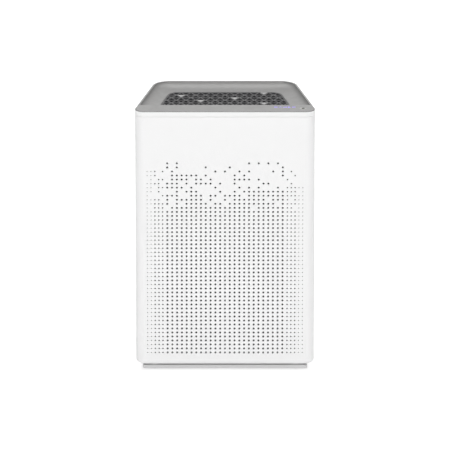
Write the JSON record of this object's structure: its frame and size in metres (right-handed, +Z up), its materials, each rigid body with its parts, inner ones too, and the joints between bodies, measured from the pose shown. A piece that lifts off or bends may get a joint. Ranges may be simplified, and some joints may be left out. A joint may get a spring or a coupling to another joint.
{
  "type": "air purifier",
  "caption": "Floor-standing air purifier with a perforated front panel, pleated filter stack, centrifugal fan and a sunken triangle-lattice outlet grille on top.",
  "frame": {"origin": "middle of the footprint on the floor", "axes": "+Z up, the perforated front faces -Y, +X is to the right of a person who looks at the front"},
  "size_m": [0.3846, 0.22, 0.59],
  "materials": {
    "shell_white": "fine satin moulded plastic",
    "plinth_grey": "satin",
    "foot_rubber": "matte",
    "screw_steel": "zinc plated",
    "magnet": "nickel plated",
    "inner_plastic": "satin",
    "duct_dark": "satin",
    "switch_black": "satin",
    "filter_grey": "satin",
    "mesh_grey": "woven nylon mesh",
    "carbon_black": "matte carbon honeycomb",
    "filter_white": "matte",
    "filter_paper": "matte pleated media",
    "tab_blue": "woven tape",
    "guard_steel": "satin",
    "fan_grey": "satin",
    "shaft_steel": "ground",
    "winding_copper": "enamelled winding",
    "motor_grey": "satin",
    "board_green": "solder mask",
    "deck_silver": "fine metallic satin",
    "grille_grey": "satin",
    "accent_grey": "satin",
    "icon_light": "emissive violet-blue light",
    "trim_dark": "satin",
    "bezel_light": "gloss",
    "button_olive": "gloss"
  },
  "bodies": {
    "housing": {"plinth": "plinth_grey", "feet": "foot_rubber", "base_screws": "screw_steel", "rear_housing": "shell_white", "rear_screws": "screw_steel", "filter_bay": "inner_plastic", "catch_plates": "screw_steel", "door_switch": "switch_black", "inlet_guard": "guard_steel", "inlet_ring": "duct_dark", "fan_duct": "duct_dark", "duct_back": "duct_dark", "motor_stator": "winding_copper", "motor_housing": "motor_grey", "motor_cap": "motor_grey", "bearing_front": "shaft_steel", "bearing_rear": "shaft_steel", "motor_screws": "screw_steel", "ionizer": "inner_plastic", "dust_sensor": "switch_black", "power_board": "board_green", "board_cover": "inner_plastic", "cord_inlet": "switch_black", "top_deck": "deck_silver", "outlet_grille": "grille_grey", "grille_accents": "accent_grey", "control_board": "board_green", "light_guide": "icon_light", "trim_bar": "trim_dark", "button_bezel": "bezel_light", "button_spring": "screw_steel", "tact_switch": "switch_black"},
    "rotor": {"impeller": "fan_grey", "impeller_nut": "screw_steel", "motor_shaft": "shaft_steel", "motor_rotor": "magnet"},
    "panel": {"front_panel": "shell_white", "panel_magnets": "magnet"},
    "prefilter": {"prefilter_frame": "filter_grey", "prefilter_mesh": "mesh_grey"},
    "filter": {"carbon_frame": "filter_grey", "carbon_core": "carbon_black", "hepa_frame": "filter_white", "hepa_pleats": "filter_paper", "pull_tabs": "tab_blue"},
    "button": {"power_button": "button_olive"}
  },
  "joints": [
    {"name": "fan_spin", "type": "hinge", "parent": "housing", "child": "rotor", "pos_m": [0, 0, 0.262], "axis": [0, -1, 0], "continuous": true},
    {"name": "panel_pull", "type": "slide", "parent": "housing", "child": "panel", "axis": [0, -1, 0], "range_m": [0, 0.12]},
    {"name": "prefilter_pull", "type": "slide", "parent": "housing", "child": "prefilter", "axis": [0, -1, 0], "range_m": [0, 0.072]},
    {"name": "filter_pull", "type": "slide", "parent": "housing", "child": "filter", "axis": [0, -1, 0], "range_m": [0, 0.042]},
    {"name": "power_press", "type": "slide", "parent": "housing", "child": "button", "axis": [0, 0, -1], "range_m": [0, 0.0015], "stiffness_N_per_m": 600, "springref_m": -0.001, "deforming": ["button_spring"]}
  ],
  "couplings": [
    {"joint": "prefilter_pull", "follows": "panel_pull", "ratio": 0.6},
    {"joint": "filter_pull", "follows": "panel_pull", "ratio": 0.35}
  ]
}
